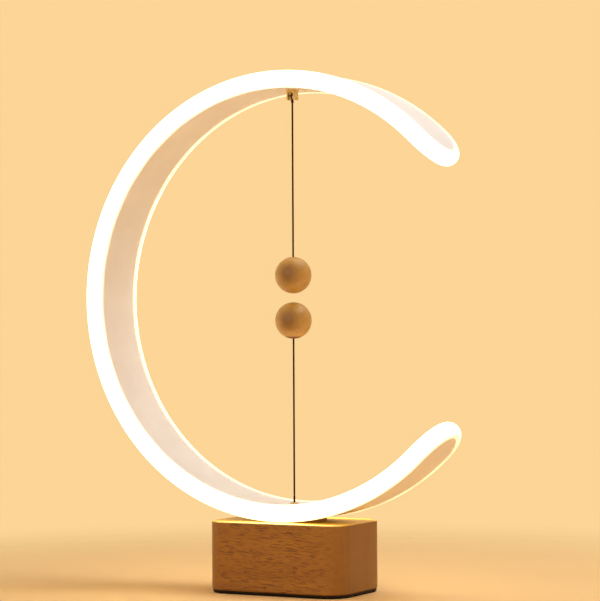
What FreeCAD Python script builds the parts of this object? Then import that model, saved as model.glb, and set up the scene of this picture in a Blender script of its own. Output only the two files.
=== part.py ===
import FreeCAD, Part
import Sketcher
import math
import os
import re

from FreeCAD import Placement, Rotation, Vector

# Magnetic balance lamp. A C-shaped band stands on its edge on a wooden base. A cord from the top of the
# band holds one wooden ball and a cord from the base holds another, each with a magnet inside, so that the
# two balls hang in the air a few millimetres apart. The lower cord works the switch in the base.
# The origin is on the table under the line of the two cords. +Z is up, -Y is the front and the mouth of
# the C opens toward +X.

SIZES = {
    # the band: middle radius and centre of its circle, and the outline of the strip that is rolled up
    "ring_radius": 132.7,
    "ring_shift": -0.6,
    "ring_height": 182.0,
    "ring_half_depth": 24.4,
    "ring_tip_angle": 144.2,
    "ring_end_length": 24.0,
    # the light diffuser that runs round the edge of the band
    "lip_half_thickness": 5.3,
    "lip_depth": 6.2,
    "lip_round": 5.0,
    "tongue_half_thickness": 3.0,
    "tongue_depth": 9.0,
    # the two sheet covers and the hollow between them
    "cover_inset": 6.3,
    "hollow_half_thickness": 3.1,
    "cover_thickness": 1.6,
    # the light strip in the hollow
    "flex_inset": 10.0,
    "flex_thickness": 0.4,
    "led_pitch": 22.0,
    "led_length": 3.5,
    "led_width": 2.8,
    "led_thickness": 0.8,
    # the wooden base
    "base_length": 94.0,
    "base_depth": 62.0,
    "base_height": 41.9,
    "base_corner": 14.5,
    "base_top_round": 1.2,
    "base_foot_chamfer": 0.8,
    "cavity_length": 74.0,
    "cavity_depth": 42.0,
    "cavity_height": 34.0,
    "cavity_corner": 6.0,
    # the cover plate and the pad under the base
    "pad_thickness": 0.8,
    "pad_inset": 1.2,
    "plate_thickness": 1.2,
    "plate_inset": 0.6,
    "rim_height": 3.0,
    "rim_thickness": 1.6,
    "rim_gap": 0.3,
    "cover_screw_across": 78.0,
    "cover_screw_along": 46.0,
    "cover_screw_radius": 1.2,
    "cover_screw_head": 2.2,
    "cover_screw_length": 10.0,
    # the circuit board on its posts
    "post_height": 5.9,
    "post_radius": 2.5,
    "board_thickness": 1.6,
    "board_left": -33.0,
    "board_right": 12.0,
    "board_front": -17.0,
    "board_back": 20.4,
    "post_inset": 3.2,
    "board_screw_radius": 1.0,
    "board_screw_head": 2.0,
    # the ballast
    "ballast_left": 15.0,
    "ballast_right": 34.8,
    "ballast_half_depth": 16.5,
    "ballast_height": 18.0,
    "ballast_rib": 2.0,
    "ballast_screw_spread": 11.0,
    # the power inlet
    "usb_width": 8.94,
    "usb_height": 3.26,
    "usb_length": 7.5,
    "usb_wall": 0.3,
    "usb_end": 20.7,
    "plug_slot_width": 13.0,
    "plug_slot_height": 7.5,
    # the switch and its lever
    "switch_reach": 26.0,
    "switch_length": 14.0,
    "switch_depth": 6.4,
    "switch_height": 10.0,
    "plunger_radius": 1.1,
    "plunger_top": 20.95,
    "pivot_reach": 20.0,
    "pivot_height": 22.65,
    "pivot_radius": 1.0,
    "lever_tilt": 5.74,
    "lever_thickness": 1.0,
    "lever_half_width": 5.0,
    "lever_slot_half": 2.9,
    "nose_radius": 1.5,
    "tail_reach": 6.0,
    "bump_radius": 1.0,
    "bracket_thickness": 1.2,
    "bracket_half_width": 5.7,
    "bracket_ear_gap": 4.5,
    "bracket_ear_radius": 3.0,
    # the pull cord in the base
    "cord_radius": 0.6,
    "stop_radius": 5.0,
    "stop_thickness": 1.5,
    "stop_top": 23.0,
    "spring_radius": 2.2,
    "spring_wire": 0.3,
    "spring_turns": 5.0,
    "knot_radius": 1.3,
    "cord_hole": 1.7,
    "lead_hole": 2.2,
    "lead_place": 8.0,
    "lead_radius": 0.5,
    # what fastens the band to the base
    "saddle_half_length": 18.5,
    "saddle_half_depth": 9.0,
    "ring_screw_place": 15.0,
    "ring_screw_radius": 1.5,
    "ring_screw_head": 2.8,
    "ring_screw_top": 50.4,
    "clamp_thickness": 2.0,
    "clamp_half_depth": 9.0,
    # the balls, their magnets and plugs
    "ball_radius": 11.3,
    "upper_ball_height": 195.1,
    "lower_ball_height": 167.1,
    "ball_wall": 2.5,
    "bore_radius": 5.3,
    "magnet_radius": 5.0,
    "magnet_height": 6.0,
    "plug_radius": 5.25,
    "knot_room": 4.2,
    "plug_hole": 0.7,
    # the pivots of the two cords
    "pin_height": 306.2,
    "upper_knot_height": 302.6,
    "lower_bend_height": 59.7,
    "cord_gap": 0.65,
    # the anchor under the top of the band
    "anchor_width": 5.4,
    "anchor_foot": 303.5,
    "tunnel_half_width": 1.8,
    "tunnel_top": 308.5,
    "pin_radius": 0.75,
    "loop_radius": 1.4,
    "stud_radius": 1.0,
    "stud_top": 313.6,
}

doc = FreeCAD.newDocument("balance_lamp")
sheet = doc.addObject("Spreadsheet::Sheet", "sizes")
for row, (alias, value) in enumerate(SIZES.items(), 1):
    sheet.set(f"A{row}", str(value))
    sheet.setAlias(f"A{row}", alias)
doc.recompute()

ALONG_X = Rotation(Vector(0, 1, 0), 90)
AGAINST_X = Rotation(Vector(0, 1, 0), -90)
ALONG_Y = Rotation(Vector(1, 0, 0), -90)
UPRIGHT = Rotation()
UPSIDE_DOWN = Rotation(Vector(1, 0, 0), 180)


# ---- expressions, primitives and booleans --------------------------------------------------------------

def cells(text):
    """Expression text in which every size's name refers to its cell."""
    return re.sub(r"[a-z_]+", lambda m: "sizes." + m[0] if m[0] in SIZES else m[0], text)


def size(text):
    """The value of an expression over the sizes."""
    return float(sheet.evalExpression(cells(text)))


def place(obj, at, turn=UPRIGHT):
    obj.Placement = Placement(Vector(), turn)
    for axis, text in zip("xyz", at):
        obj.setExpression("Placement.Base." + axis, cells(text))
    return obj


def primitive(kind, name, at=("0", "0", "0"), turn=UPRIGHT, **sizes):
    obj = doc.addObject("Part::" + kind, name)
    for prop, text in sizes.items():
        obj.setExpression(prop, cells(text))
    return place(obj, at, turn)


def block(name, x, y, z):
    """A box between two values along each axis."""
    spans = [f"({high}) - ({low})" for low, high in (x, y, z)]
    return primitive("Box", name, (x[0], y[0], z[0]), Length=spans[0], Width=spans[1], Height=spans[2])


def rod(name, at, radius, length, turn=UPRIGHT):
    return primitive("Cylinder", name, at, turn, Radius=radius, Height=length)


def fuse(name, *shapes):
    obj = doc.addObject("Part::MultiFuse", name)
    obj.Shapes = list(shapes)
    return obj


def cut(name, base, *tools):
    obj = doc.addObject("Part::Cut", name)
    obj.Base = base
    obj.Tool = tools[0] if len(tools) == 1 else fuse(name + "_tools", *tools)
    return obj


def common(name, first, second):
    obj = doc.addObject("Part::Common", name)
    obj.Base = first
    obj.Tool = second
    return obj


def group(name, shapes):
    """Several separate solids that make one sub-part."""
    obj = doc.addObject("Part::Compound", name)
    obj.Links = list(shapes)
    return obj


def free_form(name, shape, at=("0", "0", "0")):
    """A shape made by Part's own functions, moved to its place."""
    obj = doc.addObject("Part::Feature", name)
    obj.Shape = shape
    return place(obj, at)


def ring_rod(name, radius):
    """A cylinder along Y about the middle of the band, to trim what seats against it."""
    at = ("ring_shift", "-2 * ring_half_depth", "ring_height")
    return rod(name, at, radius, "4 * ring_half_depth", ALONG_Y)


# ---- bodies, sketches and features ---------------------------------------------------------------------

def body(name, at=("0", "0", "0"), turn=UPRIGHT):
    return place(doc.addObject("PartDesign::Body", name), at, turn)


def sketch(part, name, plane, offset="0"):
    obj = part.newObject("Sketcher::SketchObject", name)
    planes = [feature for feature in part.Origin.OriginFeatures if feature.Role == plane + "_Plane"]
    obj.AttachmentSupport = [(planes[0], "")]
    obj.MapMode = "FlatFace"
    obj.setExpression("AttachmentOffset.Base.z", cells(offset))
    return obj


def hold(drawing, geometry, point, at):
    """Two distances from the origin that hold one point of a sketch."""
    for kind, text in zip(("DistanceX", "DistanceY"), at):
        number = drawing.addConstraint(Sketcher.Constraint(kind, -1, 1, geometry, point, size(text)))
        drawing.setExpression(f"Constraints[{number}]", cells(text))


def outline(drawing, corners):
    """A closed run of lines through corners given as pairs of expressions."""
    points = [Vector(size(across), size(up), 0) for across, up in corners]
    lines = [drawing.addGeometry(Part.LineSegment(a, b)) for a, b in zip(points, points[1:] + points[:1])]
    for line, following in zip(lines, lines[1:] + lines[:1]):
        drawing.addConstraint(Sketcher.Constraint("Coincident", line, 2, following, 1))
    for line, corner in zip(lines, corners):
        hold(drawing, line, 1, corner)


def rectangle(drawing, width, height, centre=("0", "0")):
    left, right = (f"{centre[0]} {sign} ({width}) / 2" for sign in "-+")
    low, high = (f"{centre[1]} {sign} ({height}) / 2" for sign in "-+")
    outline(drawing, [(left, low), (right, low), (right, high), (left, high)])


def circle(drawing, centre, radius):
    round_ = Part.Circle(Vector(size(centre[0]), size(centre[1]), 0), Vector(0, 0, 1), size(radius))
    geometry = drawing.addGeometry(round_)
    number = drawing.addConstraint(Sketcher.Constraint("Radius", geometry, size(radius)))
    drawing.setExpression(f"Constraints[{number}]", cells(radius))
    hold(drawing, geometry, 3, centre)


def stadium(drawing, length, height, level):
    """A bar with round ends along the sketch's first axis, at a level on its second."""
    reach = f"(({length}) - ({height})) / 2"
    arcs = []
    for x, start in ((reach, -math.pi / 2), (f"-({reach})", math.pi / 2)):
        round_ = Part.Circle(Vector(size(x), size(level), 0), Vector(0, 0, 1), size(height) / 2)
        arcs.append(drawing.addGeometry(Part.ArcOfCircle(round_, start, start + math.pi)))
        number = drawing.addConstraint(Sketcher.Constraint("Radius", arcs[-1], size(height) / 2))
        drawing.setExpression(f"Constraints[{number}]", cells(f"({height}) / 2"))
        hold(drawing, arcs[-1], 3, (x, level))
    for near, far in (arcs, arcs[::-1]):
        ends = [drawing.getPoint(near, 2), drawing.getPoint(far, 1)]
        line = drawing.addGeometry(Part.LineSegment(*ends))
        drawing.addConstraint(Sketcher.Constraint("Tangent", near, 2, line, 1))
        drawing.addConstraint(Sketcher.Constraint("Tangent", line, 2, far, 1))


def feature(part, kind, name, drawing, **sizes):
    """A PartDesign feature on a sketch. Plain values are set and texts are bound to the sheet."""
    obj = part.newObject("PartDesign::" + kind, name)
    obj.Profile = drawing
    for prop, value in sizes.items():
        if isinstance(value, str):
            obj.setExpression(prop, cells(value))
        else:
            setattr(obj, prop, value)
    doc.recompute()
    return obj


def dress(part, kind, name, prop, amount, test):
    """A fillet or chamfer on the edges of the part so far whose middle and direction pass the test."""
    base = part.Tip
    chosen = []
    for number, edge in enumerate(base.Shape.Edges, 1):
        low, high = edge.ParameterRange
        middle = (low + high) / 2
        if test(edge.valueAt(middle), edge.tangentAt(middle)):
            chosen.append(f"Edge{number}")
    obj = part.newObject("PartDesign::" + kind, name)
    obj.Base = (base, chosen)
    obj.setExpression(prop, cells(amount))
    doc.recompute()
    return obj


def revolve(part, drawing):
    return feature(part, "Revolution", drawing.Name + "_turned", drawing, ReferenceAxis=(drawing, ["V_Axis"]))


def through(part, name, drawing, reverse=False):
    return feature(part, "Pocket", name, drawing, Type=1, Reversed=reverse)


# ---- the band ------------------------------------------------------------------------------------------
# The band is a flat strip rolled up about the Y axis. A point of the strip is (u, y): u is the length
# along the middle radius from the side away from the mouth, and y the depth. Each end is half an ellipse.
# Across the strip, rho is the distance outward from the middle radius and w the distance in from the rim.

RADIUS = size("ring_radius")
HALF_DEPTH = size("ring_half_depth")
END_LENGTH = size("ring_end_length")
END_START = math.radians(size("ring_tip_angle")) * RADIUS - END_LENGTH
RING_CENTRE = ("ring_shift", "0", "ring_height")


def round_end(inset, steps):
    """Points (u, y, normal) of the upper end of the outline, moved in from the rim along its normals."""
    points = []
    for step in range(steps + 1):
        angle = -math.pi / 2 + math.pi * step / steps
        along, across = math.cos(angle) / END_LENGTH, math.sin(angle) / HALF_DEPTH
        length = math.hypot(along, across)
        normal = (along / length, across / length)
        points.append((END_START + END_LENGTH * math.cos(angle) - inset * normal[0],
                       HALF_DEPTH * math.sin(angle) - inset * normal[1], normal))
    return points


def sheet_face(radius, end):
    """The inset outline laid on a cylinder, as a face and its four edges."""
    cylinder = Part.Cylinder()
    cylinder.Axis = Vector(0, -1, 0)
    cylinder.Radius = radius

    def on(u, y):
        return FreeCAD.Base.Vector2d(math.pi - u / RADIUS, -y)

    def curve(points):
        lengths = [0.0]
        for (u, y), (next_u, next_y) in zip(points, points[1:]):
            lengths.append(lengths[-1] + math.hypot(next_u - u, next_y - y))
        spline = Part.Geom2d.BSplineCurve2d()
        spline.interpolate(Points=[on(*point) for point in points], Parameters=lengths)
        return spline

    other_end = [(-u, y) for u, y in reversed(end)]
    sides = [curve(end), Part.Geom2d.Line2dSegment(on(*end[-1]), on(*other_end[0])),
             curve(other_end), Part.Geom2d.Line2dSegment(on(*other_end[-1]), on(*end[0]))]
    edges = [side.toShape(cylinder) for side in sides]
    return Part.Face(cylinder, Part.Wire(edges)), edges


def rolled_sheet(inner, outer, inset):
    """A rolled sheet between two distances from the middle radius, its outline set in from the rim."""
    end = [(u, y) for u, y, _ in round_end(inset, 24)]
    inside, inside_edges = sheet_face(RADIUS + inner, end)
    outside, outside_edges = sheet_face(RADIUS + outer, end)
    edge_faces = [Part.makeRuledSurface(a, b) for a, b in zip(inside_edges, outside_edges)]
    shell = Part.Shell([inside, outside] + edge_faces)
    shell.sewShape()
    solid = Part.Solid(shell)
    if solid.Volume < 0:
        solid.reverse()
    return solid


def station(u, y, normal):
    """A point of the rolled middle surface, its outward direction and the direction of a normal there."""
    turn = u / RADIUS
    outward = Vector(-math.cos(turn), 0, math.sin(turn))
    along = Vector(math.sin(turn), 0, math.cos(turn))
    return outward * RADIUS + Vector(0, y, 0), outward, along * normal[0] + Vector(0, normal[1], 0)


def diffuser_section(point, outward, normal):
    """The lip's D-shaped section with the tongue behind it that the covers hold. The point given is in
    the middle of the lip's foot."""
    lip, depth, curve = size("lip_half_thickness"), size("lip_depth"), size("lip_round")
    tongue, tongue_depth = size("tongue_half_thickness"), size("tongue_depth")
    flat = lip - curve
    reach = curve * math.sin(math.pi / 4)

    def at(rho, w):
        return point + outward * rho - normal * (w - depth)

    corners = [at(flat, 0), at(-flat, 0), at(-lip, curve), at(-lip, depth), at(-tongue, depth),
               at(-tongue, tongue_depth), at(tongue, tongue_depth), at(tongue, depth), at(lip, depth),
               at(lip, curve)]
    edges = [Part.LineSegment(a, b) for a, b in zip(corners, corners[1:])]
    edges[1] = Part.Arc(corners[1], at(-flat - reach, curve - reach), corners[2])
    edges.append(Part.Arc(corners[-1], at(flat + reach, curve - reach), corners[0]))
    return Part.Wire([edge.toShape() for edge in edges])


def make_diffuser(stations=12):
    """The lip turned round the ring on both sides, and lofted round each rounded end."""
    foot = size("lip_depth")
    first = diffuser_section(*station(-END_START, foot - HALF_DEPTH, (0, -1)))
    sweep = math.degrees(2 * END_START / RADIUS)
    side = Part.Face(first).revolve(Vector(), Vector(0, 1, 0), sweep)
    sections = [diffuser_section(*station(*spot)) for spot in round_end(foot, stations)]
    end = Part.makeLoft(sections, True, False, False)
    other_side = side.mirror(Vector(), Vector(0, 1, 0))
    other_end = end.mirror(Vector(), Vector(0, 0, 1))
    free_form("diffuser", side.fuse([other_side, end, other_end]), RING_CENTRE)


def make_covers():
    hollow, thick = size("hollow_half_thickness"), size("cover_thickness")
    inset = size("cover_inset")
    inner = free_form("inner_sheet", rolled_sheet(-hollow - thick, -hollow, inset), RING_CENTRE)
    outer = free_form("outer_sheet", rolled_sheet(hollow, hollow + thick, inset), RING_CENTRE)
    middle = "ring_height - ring_radius"
    cut("inner_cover", inner,
        rod("eyelet_hole", ("0", "0", middle), "cord_hole", "2 * lip_half_thickness"),
        rod("stud_hole", ("0", "0", "pin_height"), "stud_radius + 0.1", "2 * lip_half_thickness"))
    cut("outer_cover", outer, *fixing_holes("outer_cover", "base_top_round"))


def fixing_holes(name, low):
    """The upright holes for the two ring screws, the pull cord and the leads."""
    places = [("-ring_screw_place", "ring_screw_radius + 0.1"), ("ring_screw_place", "ring_screw_radius + 0.1"),
              ("0", "cord_hole"), ("lead_place", "lead_hole")]
    return [rod(f"{name}_hole_{number}", (x, "0", low), radius, "2 * base_height")
            for number, (x, radius) in enumerate(places)]


def make_light_strip():
    """A flexible strip that lines the hollow just inside the diffuser, and the lamps along it."""
    half = size("hollow_half_thickness") - 0.1
    inset, thick = size("flex_inset"), size("flex_thickness")
    free_form("led_strip", rolled_sheet(-half, half, inset).cut(rolled_sheet(-half, half, inset + thick)),
              RING_CENTRE)
    lamps = [lamp_box(*station(*spot)) for spot in evenly_round(inset, size("led_pitch"))]
    free_form("led_packages", Part.Compound(lamps), RING_CENTRE)


def evenly_round(inset, pitch, fineness=200):
    """Points (u, y) and normals at equal distances round the whole outline, moved in from the rim."""
    path = round_end(inset, fineness)
    path += [(-u, -y, (-along, -across)) for u, y, (along, across) in path]
    path.append(path[0])
    lengths = [0.0]
    for (u, y, _), (next_u, next_y, _) in zip(path, path[1:]):
        lengths.append(lengths[-1] + math.hypot(next_u - u, next_y - y))
    count = round(lengths[-1] / pitch)
    spots = []
    for number in range(count):
        target = (number + 0.5) * lengths[-1] / count
        after = next(k for k, length in enumerate(lengths) if length > target)
        share = (target - lengths[after - 1]) / (lengths[after] - lengths[after - 1])
        (u, y, normal), (next_u, next_y, _) = path[after - 1], path[after]
        spots.append((u + share * (next_u - u), y + share * (next_y - y), normal))
    return spots


def lamp_box(point, outward, normal):
    length, width, thick = size("led_length"), size("led_width"), size("led_thickness")
    box = Part.makeBox(length, width, thick, Vector(-length / 2, -width / 2, 0))
    box.Placement = Placement(point, Rotation(outward.cross(normal), outward, normal, "ZYX"))
    return box


# ---- the base ------------------------------------------------------------------------------------------

def corners_of(length, depth):
    return [(f"{a} * ({length})", f"{b} * ({depth})") for a in (-1, 1) for b in (-1, 1)]


def is_upright(_, direction):
    return abs(direction.z) > 0.99


def make_base_block():
    part = body("base_block", ("0", "0", "pad_thickness + plate_thickness"))
    plan = sketch(part, "block_plan", "XY")
    rectangle(plan, "base_length", "base_depth")
    feature(part, "Pad", "block", plan, Length="base_height")
    dress(part, "Fillet", "block_corners", "Radius", "base_corner", is_upright)
    height = size("base_height")
    dress(part, "Fillet", "block_top", "Radius", "base_top_round", lambda p, _: p.z > height - 0.01)
    dress(part, "Chamfer", "block_foot", "Size", "base_foot_chamfer", lambda p, _: p.z < 0.01)

    cavity = sketch(part, "cavity_plan", "XY")
    rectangle(cavity, "cavity_length", "cavity_depth")
    feature(part, "Pocket", "cavity", cavity, Length="cavity_height", Reversed=True)
    half_length, half_depth = size("cavity_length / 2"), size("cavity_depth / 2")
    dress(part, "Fillet", "cavity_corners", "Radius", "cavity_corner",
          lambda p, way: is_upright(p, way) and abs(abs(p.x) - half_length) + abs(abs(p.y) - half_depth) < 0.01)

    holes = sketch(part, "top_holes_plan", "XY")
    for x in ("-ring_screw_place", "ring_screw_place"):
        circle(holes, (x, "0"), "ring_screw_radius + 0.1")
    circle(holes, ("0", "0"), "cord_hole")
    circle(holes, ("lead_place", "0"), "lead_hole")
    through(part, "top_holes", holes, reverse=True)

    pilots = sketch(part, "pilot_plan", "XY")
    for corner in corners_of("cover_screw_across / 2", "cover_screw_along / 2"):
        circle(pilots, corner, "cover_screw_radius + 0.05")
    feature(part, "Pocket", "pilots", pilots, Length="cover_screw_length + 1", Reversed=True)

    slot = sketch(part, "plug_slot_plan", "XZ")
    rectangle(slot, "plug_slot_width", "plug_slot_height",
              ("0", "(post_height + board_thickness + usb_height / 2)"))
    through(part, "plug_slot", slot)
    width = size("plug_slot_width / 2")
    dress(part, "Fillet", "plug_slot_corners", "Radius", "2",
          lambda p, way: abs(way.y) > 0.99 and abs(abs(p.x) - width) < 0.01)


def make_bottom_cover():
    part = body("bottom_cover", ("0", "0", "pad_thickness"))
    plan = sketch(part, "plate_plan", "XY")
    rectangle(plan, "base_length - 2 * plate_inset", "base_depth - 2 * plate_inset")
    feature(part, "Pad", "plate", plan, Length="plate_thickness")
    dress(part, "Fillet", "plate_corners", "Radius", "base_corner - plate_inset", is_upright)

    rim_plan = sketch(part, "rim_plan", "XY", "plate_thickness")
    for inset in ("rim_gap", "rim_gap + rim_thickness"):
        rectangle(rim_plan, f"cavity_length - 2 * ({inset})", f"cavity_depth - 2 * ({inset})")
    feature(part, "Pad", "rim_wall", rim_plan, Length="rim_height")
    dress(part, "Fillet", "rim_corners", "Radius", "cavity_corner",
          lambda p, way: is_upright(p, way) and p.z > 2 and abs(p.x) > 30)

    posts = sketch(part, "post_plan", "XY", "plate_thickness")
    for corner in board_corners():
        circle(posts, corner, "post_radius")
    feature(part, "Pad", "posts", posts, Length="post_height")

    ribs = sketch(part, "rib_plan", "XY", "plate_thickness")
    for side in ("-", ""):
        rectangle(ribs, "ballast_right - ballast_left", "2 * post_radius",
                  ("(ballast_left + ballast_right) / 2", f"{side}ballast_screw_spread"))
    feature(part, "Pad", "ribs", ribs, Length="ballast_rib")

    screws = sketch(part, "screw_plan", "XY")
    for corner in corners_of("cover_screw_across / 2", "cover_screw_along / 2"):
        circle(screws, corner, "cover_screw_radius + 0.05")
    through(part, "screw_holes", screws, reverse=True)
    dress(part, "Chamfer", "countersinks", "Size", "cover_screw_head - cover_screw_radius",
          lambda p, _: p.z < 0.01 and abs(p.x) < 42 and abs(abs(p.y) - 23) < 2)

    pilots = sketch(part, "post_pilot_plan", "XY", "plate_thickness")
    for corner in board_corners() + ballast_screw_places():
        circle(pilots, corner, "board_screw_radius + 0.05")
    through(part, "post_pilots", pilots, reverse=True)


def board_corners():
    return [(x, y) for x in ("board_left + post_inset", "board_right - post_inset")
            for y in ("board_front + post_inset", "board_back - post_inset")]


def ballast_screw_places():
    return [("(ballast_left + ballast_right) / 2", side + "ballast_screw_spread") for side in ("-", "")]


def make_foot_pad():
    part = body("foot_pad")
    plan = sketch(part, "pad_plan", "XY")
    rectangle(plan, "base_length - 2 * pad_inset", "base_depth - 2 * pad_inset")
    feature(part, "Pad", "pad", plan, Length="pad_thickness")
    dress(part, "Fillet", "pad_corners", "Radius", "base_corner - pad_inset", is_upright)


def make_cover_screws():
    screws = []
    for number, (x, y) in enumerate(corners_of("cover_screw_across / 2", "cover_screw_along / 2")):
        head = primitive("Cone", f"cover_screw_head_{number}", (x, y, "pad_thickness"),
                         Radius1="cover_screw_head", Radius2="cover_screw_radius",
                         Height="cover_screw_head - cover_screw_radius")
        shank = rod(f"cover_screw_shank_{number}", (x, y, "pad_thickness"), "cover_screw_radius",
                    "cover_screw_length")
        screws.append(fuse(f"cover_screw_{number}", head, shank))
    group("cover_screws", screws)


def pan_head_screws(name, places, seat, foot):
    """Small screws that point down, with their heads on a seat."""
    screws = []
    for number, (x, y) in enumerate(places):
        head = rod(f"{name}_head_{number}", (x, y, seat), "board_screw_head", "board_screw_head * 0.7")
        shank = rod(f"{name}_shank_{number}", (x, y, foot), "board_screw_radius", f"{seat} - ({foot})")
        screws.append(fuse(f"{name}_{number}", head, shank))
    group(name, screws)


BOARD_FOOT = "pad_thickness + plate_thickness + post_height"
BOARD_TOP = BOARD_FOOT + " + board_thickness"
BALLAST_FOOT = "pad_thickness + plate_thickness + ballast_rib"
BALLAST_TOP = BALLAST_FOOT + " + ballast_height"


def make_circuit_board():
    plain = block("plain_board", ("board_left", "board_right"), ("board_front", "board_back"),
                  (BOARD_FOOT, BOARD_TOP))
    holes = [rod(f"board_hole_{number}", (x, y, "0"), "board_screw_radius + 0.2", "2 * post_height")
             for number, (x, y) in enumerate(board_corners())]
    cut("circuit_board", plain, *holes)
    pan_head_screws("board_screws", board_corners(), BOARD_TOP, "pad_thickness + plate_thickness + 1")
    rod("capacitor", ("-9", "11", BOARD_TOP), "3.15", "9")
    block("driver_chip", ("-16", "-11"), ("-12", "-8"), (BOARD_TOP, BOARD_TOP + " + 1.5"))
    block("inductor", ("-6", "0"), ("-14", "-8"), (BOARD_TOP, BOARD_TOP + " + 3"))


def make_ballast():
    plain = block("plain_ballast", ("ballast_left", "ballast_right"),
                  ("-ballast_half_depth", "ballast_half_depth"), (BALLAST_FOOT, BALLAST_TOP))
    eased = doc.addObject("Part::Chamfer", "eased_ballast")
    eased.Base = plain
    eased.Edges = [(number, 0.8, 0.8) for number in range(1, 13)]
    holes = [rod(f"ballast_hole_{number}", (x, y, "0"), "board_screw_radius + 0.2", "2 * ballast_height")
             for number, (x, y) in enumerate(ballast_screw_places())]
    cut("ballast_weight", eased, *holes)
    pan_head_screws("ballast_screws", ballast_screw_places(), BALLAST_TOP, "pad_thickness + plate_thickness + 1")


def make_usb_socket():
    part = body("usb_shell", ("0", "usb_end", BOARD_TOP))
    shell = sketch(part, "shell_plan", "XZ")
    stadium(shell, "usb_width", "usb_height", "usb_height / 2")
    feature(part, "Pad", "shell", shell, Length="usb_length")
    mouth = sketch(part, "mouth_plan", "XZ")
    stadium(mouth, "usb_width - 2 * usb_wall", "usb_height - 2 * usb_wall", "usb_height / 2")
    feature(part, "Pocket", "mouth", mouth, Length="usb_length - 1", Reversed=True)
    middle = BOARD_TOP + " + usb_height / 2"
    block("usb_tongue", ("-3.35", "3.35"), ("usb_end - usb_length + 1", "usb_end - 1"),
          (middle + " - 0.35", middle + " + 0.35"))


# ---- the switch mechanism ------------------------------------------------------------------------------

BRACKET_FOOT = "pad_thickness + plate_thickness + cavity_height - bracket_thickness"


def make_switch():
    case = block("plain_switch", ("-switch_reach - switch_length / 2", "-switch_reach + switch_length / 2"),
                 ("-switch_depth / 2", "switch_depth / 2"), (BOARD_TOP, BOARD_TOP + " + switch_height"))
    bore = rod("plunger_bore", ("-switch_reach", "0", BOARD_TOP + " + 1.5"), "plunger_radius + 0.1",
               "switch_height")
    cut("switch_body", case, bore)
    stem = rod("plunger_stem", ("-switch_reach", "0", BOARD_TOP + " + 2"), "plunger_radius",
               f"plunger_top - plunger_radius - ({BOARD_TOP} + 2)")
    tip = primitive("Sphere", "plunger_tip", ("-switch_reach", "0", "plunger_top - plunger_radius"),
                    Radius="plunger_radius")
    fuse("switch_plunger", stem, tip)


def make_switch_lever():
    """The lever lies along X with its pivot at its origin, a fork for the pull cord at one end and a
    rounded tail over the switch at the other."""
    part = body("switch_lever", ("-pivot_reach", "0", "pivot_height"), Rotation(Vector(0, 1, 0), -size("lever_tilt")))
    plan = sketch(part, "lever_plan", "XY", "-lever_thickness / 2")
    tail, root, wide = "2", "bracket_ear_gap - 0.7", "lever_half_width"
    near, far = "-2.5", "bracket_ear_radius + 1.5"
    lower = [("-tail_reach", tail), (near, tail), (near, root), (far, root), (far, wide), ("pivot_reach", wide)]
    outline(plan, [(x, f"-({y})") for x, y in lower] + lower[::-1])
    feature(part, "Pad", "lever_plate", plan, Length="lever_thickness")
    for name, centre, radius, width in (("barrel", "0", "2 * pivot_radius", "2 * bracket_ear_gap - 1"),
                                        ("noses", "pivot_reach", "nose_radius", "2 * lever_half_width"),
                                        ("bump", "-tail_reach", "bump_radius", "4")):
        profile = sketch(part, name + "_plan", "XZ")
        circle(profile, (centre, "0"), radius)
        feature(part, "Pad", name, profile, Midplane=True, Length=width)
    fork = sketch(part, "fork_plan", "XY", "nose_radius + 1")
    rectangle(fork, "10", "2 * lever_slot_half", ("(pivot_reach - 2)", "0"))
    through(part, "fork", fork)
    bore = sketch(part, "lever_bore_plan", "XZ", "-lever_half_width - 1")
    circle(bore, ("0", "0"), "pivot_radius + 0.05")
    feature(part, "Pocket", "lever_bore", bore, Midplane=True, Length="6 * lever_half_width")

    pin = rod("pin_shank", ("-pivot_reach", "-bracket_half_width", "pivot_height"), "pivot_radius",
              "2 * bracket_half_width + 0.6", ALONG_Y)
    head = rod("pin_head", ("-pivot_reach", "-bracket_half_width - 0.6", "pivot_height"),
               "pivot_radius + 0.6", "0.6", ALONG_Y)
    fuse("lever_pivot_pin", pin, head)


def make_switch_bracket():
    """A plate under the top of the cavity with two ears that carry the lever's pin."""
    part = body("switch_bracket", ("0", "0", BRACKET_FOOT))
    plan = sketch(part, "bracket_plan", "XY")
    left, right = "-pivot_reach - 6", "ring_screw_place + 5"
    rectangle(plan, f"({right}) - ({left})", "2 * bracket_half_width", (f"(({left}) + ({right})) / 2", "0"))
    feature(part, "Pad", "bracket_plate", plan, Length="bracket_thickness")
    drop = f"pivot_height - ({BRACKET_FOOT})"
    ears = sketch(part, "ear_plan", "XZ")
    rectangle(ears, "2 * bracket_ear_radius", f"-({drop})", ("-pivot_reach", f"({drop}) / 2"))
    feature(part, "Pad", "ears", ears, Midplane=True, Length="2 * bracket_half_width")
    ends = sketch(part, "ear_end_plan", "XZ")
    circle(ends, ("-pivot_reach", drop), "bracket_ear_radius")
    feature(part, "Pad", "ear_ends", ends, Midplane=True, Length="2 * bracket_half_width")
    gap = sketch(part, "ear_gap_plan", "XY")
    rectangle(gap, "4 * bracket_ear_radius", "2 * bracket_ear_gap", ("-pivot_reach", "0"))
    feature(part, "Pocket", "ear_gap", gap, Length="20")
    bore = sketch(part, "ear_bore_plan", "XZ", "-bracket_half_width - 1")
    circle(bore, ("-pivot_reach", drop), "pivot_radius")
    feature(part, "Pocket", "ear_bore", bore, Midplane=True, Length="6 * bracket_half_width")
    holes = sketch(part, "bracket_hole_plan", "XY")
    for x in ("-ring_screw_place", "ring_screw_place"):
        circle(holes, (x, "0"), "ring_screw_radius + 0.1")
    circle(holes, ("0", "0"), "cord_hole")
    circle(holes, ("lead_place", "0"), "lead_hole")
    through(part, "bracket_holes", holes, reverse=True)


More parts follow.
